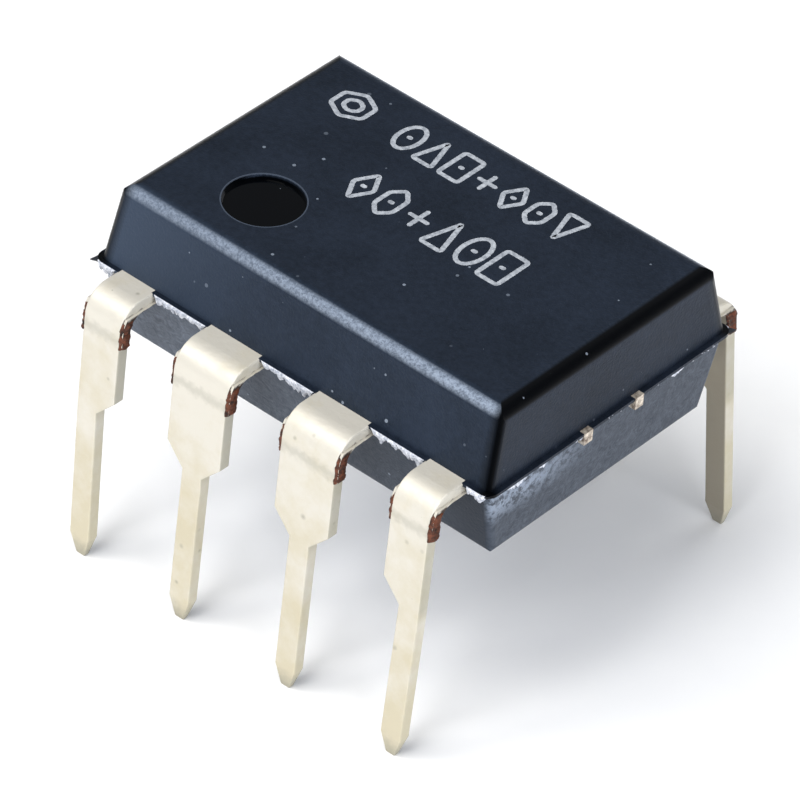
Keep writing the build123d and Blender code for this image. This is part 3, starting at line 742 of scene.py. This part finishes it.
# ---- floor, lights, camera -----------------------------------------------------------------
def make_floor():
    """White seamless paper under the leads: matt, so that it takes soft shadows and no glare."""
    mesh = bpy.data.meshes.new("paper_floor")
    reach = 3.0
    mesh.from_pydata([(-reach, -reach, 0), (reach, -reach, 0), (reach, reach, 0), (-reach, reach, 0)],
                     [], [(0, 1, 2, 3)])
    floor = bpy.data.objects.new("paper_floor", mesh)
    bpy.context.scene.collection.objects.link(floor)
    material, tree, shader = blank("white_paper")
    place = add(tree, "ShaderNodeTexCoord").outputs["Object"]
    fibres = add(tree, "ShaderNodeTexNoise", {"Vector": place, "Scale": 1 / (0.6 * MM), "Detail": 3.0})
    tint = add(tree, "ShaderNodeMix", {
        "Factor": fibres.outputs["Fac"], 6: linear("#fbfbfc"), 7: linear("#ffffff")}, data_type="RGBA")
    tree.links.new(tint.outputs[2], shader.inputs["Base Color"])
    shader.inputs["Roughness"].default_value = 0.9
    shader.inputs["Specular IOR Level"].default_value = 0.2
    mesh.materials.append(material)


def make_light(name, place, size, watts, tint):
    """A square soft box at a place in metres, turned to the part."""
    data = bpy.data.lights.new(name, "AREA")
    data.shape = "SQUARE"
    data.size = size
    data.energy = watts
    data.color = linear(tint)[:3]
    light = bpy.data.objects.new(name, data)
    bpy.context.scene.collection.objects.link(light)
    light.location = place
    light.rotation_euler = (Vector(LIGHT_AIM) - Vector(place)).to_track_quat("-Z", "Y").to_euler()


def make_world():
    """Even pale studio air."""
    world = bpy.data.worlds.new("studio")
    world.use_nodes = True
    world.node_tree.nodes["Background"].inputs["Color"].default_value = linear("#eef2f8")
    world.node_tree.nodes["Background"].inputs["Strength"].default_value = 0.30
    bpy.context.scene.world = world


def make_camera():
    """Camera 115 mm away, to the right of the front row and above it, with a long lens."""
    azimuth, elevation, roll = np.radians(CAMERA_ANGLES)
    target = Vector(CAMERA_TARGET) * MM
    back = Vector((
        np.sin(azimuth) * np.cos(elevation), -np.cos(azimuth) * np.cos(elevation),
        np.sin(elevation)))
    level = back.cross(Vector((0, 0, 1))).normalized() * -1
    upright = back.cross(level)
    right = level * np.cos(roll) + upright * np.sin(roll)
    up = upright * np.cos(roll) - level * np.sin(roll)
    data = bpy.data.cameras.new("camera")
    data.sensor_width = 36
    data.lens = CAMERA_LENS
    data.clip_start = 0.001
    data.clip_end = 20
    camera = bpy.data.objects.new("camera", data)
    bpy.context.scene.collection.objects.link(camera)
    place = target + back * CAMERA_DISTANCE * MM
    turn = Matrix((right, up, back)).transposed().to_4x4()
    camera.matrix_world = Matrix.Translation(place) @ turn
    bpy.context.scene.camera = camera


# ---- scene ---------------------------------------------------------------------------------
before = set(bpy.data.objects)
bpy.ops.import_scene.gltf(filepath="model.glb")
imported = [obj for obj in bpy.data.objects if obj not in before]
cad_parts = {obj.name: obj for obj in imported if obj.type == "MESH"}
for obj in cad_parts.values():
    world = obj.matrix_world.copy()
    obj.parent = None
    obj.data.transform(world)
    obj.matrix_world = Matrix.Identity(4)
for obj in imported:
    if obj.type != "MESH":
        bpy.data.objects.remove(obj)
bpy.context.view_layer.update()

finishes = {
    "moulded_body": moulded_epoxy(),
    "lead": tin_plated_lead(),
    # sheared copper alloy: brown, with bright torn spots at the cut ends of the tie bars
    "die_pad": two_tone(
        "copper_alloy_sheared_bright", "#5c4636", "#e8dccb", patch_mm=0.12, rough_low=0.3,
        rough_high=0.5, metallic=0.4, relief_mm=0.01),
    # silver-filled adhesive: a dull pale grey paste, hidden in the body
    "die_adhesive": two_tone(
        "silver_filled_adhesive", "#a9a9a6", "#c8c8c4", patch_mm=0.08, rough_low=0.45,
        rough_high=0.6, metallic=0.3),
    # polished silicon: dark blue-grey and nearly a mirror, hidden in the body
    "silicon_die": two_tone(
        "polished_silicon", "#3c4148", "#565d66", patch_mm=0.5, rough_low=0.08,
        rough_high=0.15, metallic=0.4, relief_mm=0.0005),
    # drawn gold: warm yellow metal with a soft shine, hidden in the body
    "bond_wire": two_tone(
        "drawn_gold_wire", "#d9a441", "#e8bd5f", patch_mm=0.1, rough_low=0.2,
        rough_high=0.3, metallic=1.0, relief_mm=0.0005),
}
for name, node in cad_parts.items():
    finish = next(made for start, made in finishes.items() if name.startswith(start))
    node.data.materials.clear()
    node.data.materials.append(finish)

# printed ink: pale cool grey, patchy where it is worn thin
make_printing(two_tone(
    "printed_ink_pale_grey", "#80868f", "#bcc1c8", patch_mm=0.09, rough_low=0.5, rough_high=0.7))
# resin bleed: thin whitish resin, chalky where it tore
make_bleed(two_tone(
    "resin_bleed_chalky", "#8b93a2", "#eef0f7", patch_mm=0.07, rough_low=0.4, rough_high=0.6,
    relief_mm=0.012))
# corner flash: the moulding's own epoxy, dark and thin
make_spikes(two_tone(
    "epoxy_flash_dark", "#0d0f14", "#2b3038", patch_mm=0.1, rough_low=0.4, rough_high=0.6))
# sheared copper: dark brown oxide with redder torn ridges
make_cuts(two_tone(
    "copper_sheared_oxidised", "#0e0906", "#6e371b", patch_mm=0.11, rough_low=0.55,
    rough_high=0.75, metallic=0.15, relief_mm=0.01))

make_floor()
make_world()
make_light("overhead_softbox", (-0.064, -0.177, 0.517), 0.24, 0.95, "#fffdf8")
make_light("front_left_softbox", (-0.265, -0.256, 0.409), 0.26, 0.95, "#fffdf8")
make_light("front_softbox", (0.014, -0.409, 0.368), 0.26, 1.25, "#fbfcff")
make_light("right_softbox", (0.544, -0.146, 0.140), 0.40, 3.0, "#f6f9ff")
make_light("back_softbox", (0.0, 0.512, 0.272), 0.30, 0.5, "#f6f9ff")
make_camera()
bpy.context.scene.view_settings.view_transform = "Standard"
